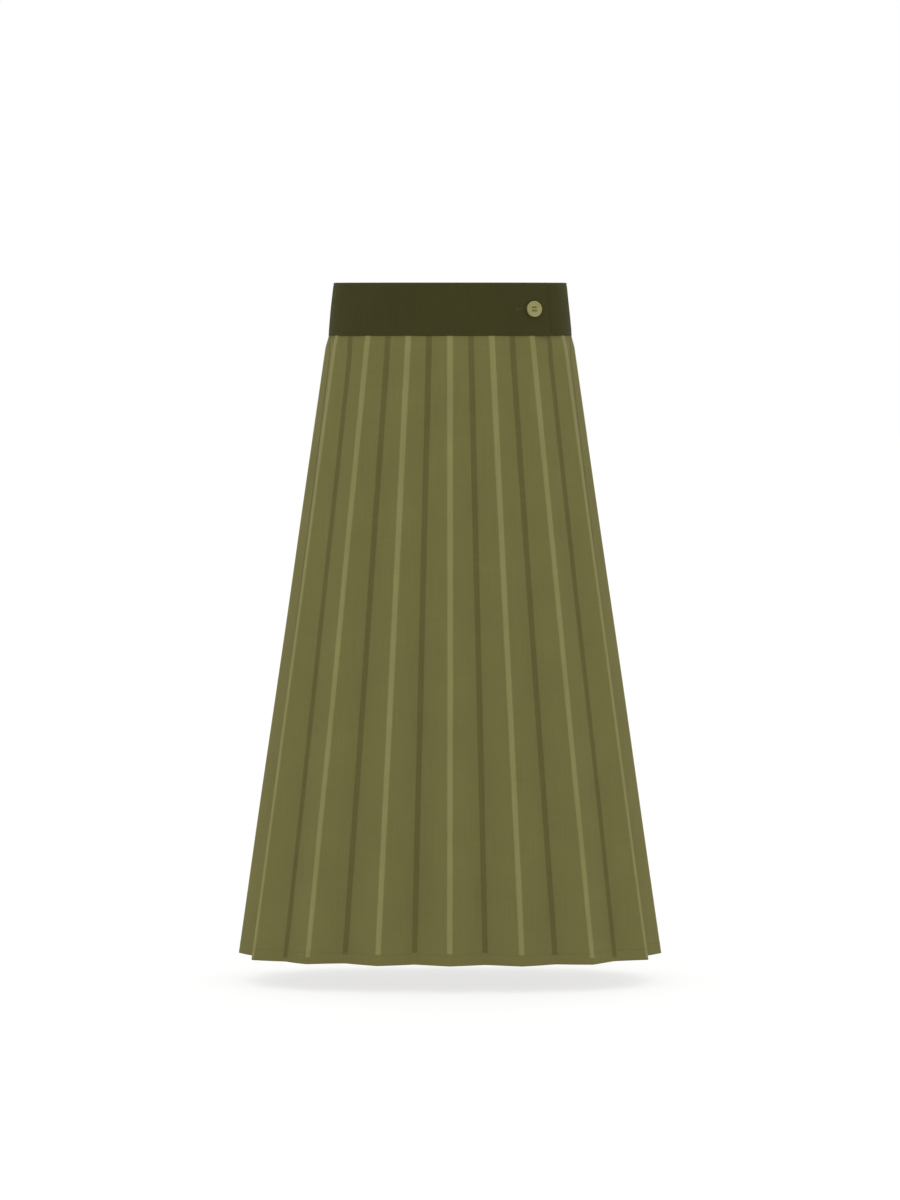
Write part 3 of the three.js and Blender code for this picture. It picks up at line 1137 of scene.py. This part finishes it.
STRANDS = 4
STRAND_PITCH = 0.36 * MM
STRAND_RADIUS = 0.27 * MM
STRAND_PAST_HOLES = 1.5 * MM
STRAND_LENGTH = BUTTON_HOLE_SPACING + STRAND_PAST_HOLES
OUTER_STRAND_LIFT = 0.12 * MM
INNER_STRAND_LIFT = 0.28 * MM
PLUG_RADIUS = 0.75 * MM
PLUG_SIDES = 10
SHANK_RADIUS = 2.2 * MM
SHANK_SIDES = 16


def strands():
    """(offset, lift) of each strand of the two bars of thread that hold the button."""
    for side in (-1, 1):
        for strand in range(STRANDS):
            shift = (strand - (STRANDS - 1) / 2) * STRAND_PITCH
            lift = INNER_STRAND_LIFT if 0 < strand < STRANDS - 1 else OUTER_STRAND_LIFT
            yield side * BUTTON_HOLE_SPACING / 2 + shift, lift


def button_thread(material):
    """Bars of thread over the button and inside the underlap, and the shank between them."""
    thread = Thread()
    seat = button_seat()
    outward = (seat.to_3x3() @ UP).normalized()
    along = (seat.to_3x3() @ Vector((1, 0, 0))).normalized()
    for offset, lift in strands():
        place = seat @ Vector((0, offset, DISH_FLOOR + lift))
        thread.lay(place, outward, along, STRAND_LENGTH, STRAND_RADIUS)
        place, inward = on_band(BUTTON_PLACE, offset, True)
        thread.lay(place, inward, UP.cross(inward), STRAND_LENGTH, STRAND_RADIUS)
    for centre in hole_centres():
        in_hole = Matrix.Translation(centre + Vector((0, 0, DISH_FLOOR / 2)))
        thread.plug(seat @ in_hole, PLUG_RADIUS, DISH_FLOOR, PLUG_SIDES)
    under = Matrix.Translation((0, 0, -BUTTON_STANDOFF / 2))
    thread.plug(seat @ under, SHANK_RADIUS, BUTTON_STANDOFF, SHANK_SIDES)
    return thread.finish("button_thread", material, "pleated_cloth", SHARP_EDGE)


# ---------------------------------------------------------------- the room's floor


def lay_floor():
    disc = bmesh.new()
    at_floor = Matrix.Translation((0, 0, HEM - FLOOR_GAP))
    bmesh.ops.create_circle(
        disc, cap_ends=True, segments=FLOOR_SIDES, radius=FLOOR_RADIUS, matrix=at_floor
    )
    mesh = bpy.data.meshes.new("floor")
    disc.to_mesh(mesh)
    disc.free()
    mesh.materials.append(floor_finish())
    floor = bpy.data.objects.new("floor", mesh)
    bpy.context.scene.collection.objects.link(floor)


# ---------------------------------------------------------------- making the skirt


def make_skirt():
    """The two panels and their hems, the band with its stitches, and the button."""
    right_side = pleated_cloth_finish("pleated olive twill", True)
    wrong_side = pleated_cloth_finish("wrong side of the olive twill", False)
    band_cloth = band_cloth_finish()
    olive_thread = thread_finish("olive thread", OLIVE)
    dark_thread = thread_finish("dark olive thread", BAND_THREAD)

    panels = (
        ("front_panel", "pleated_front", "front_hem_stitch", -FRONT_PLEATS, FRONT_PLEATS),
        ("back_panel", "pleated_back", "back_hem_stitch", FRONT_PLEATS, FOLDS - FRONT_PLEATS),
    )
    for node, name, stitch_name, first, last in panels:
        panel = Panel(first, last)
        pleats = pleated_panel(name, panel, right_side, wrong_side)
        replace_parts(pleats, node)
        stitches = hem_stitches(stitch_name, panel, olive_thread)

    band = waistband(band_cloth)
    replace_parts(band, "waistband")
    topstitch = band_stitches(dark_thread)
    buttonhole = buttonhole_stitches(dark_thread)

    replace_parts(button(button_finish()), "button")
    button_thread(olive_thread)


set_camera()
light_room()
lay_floor()
make_skirt()
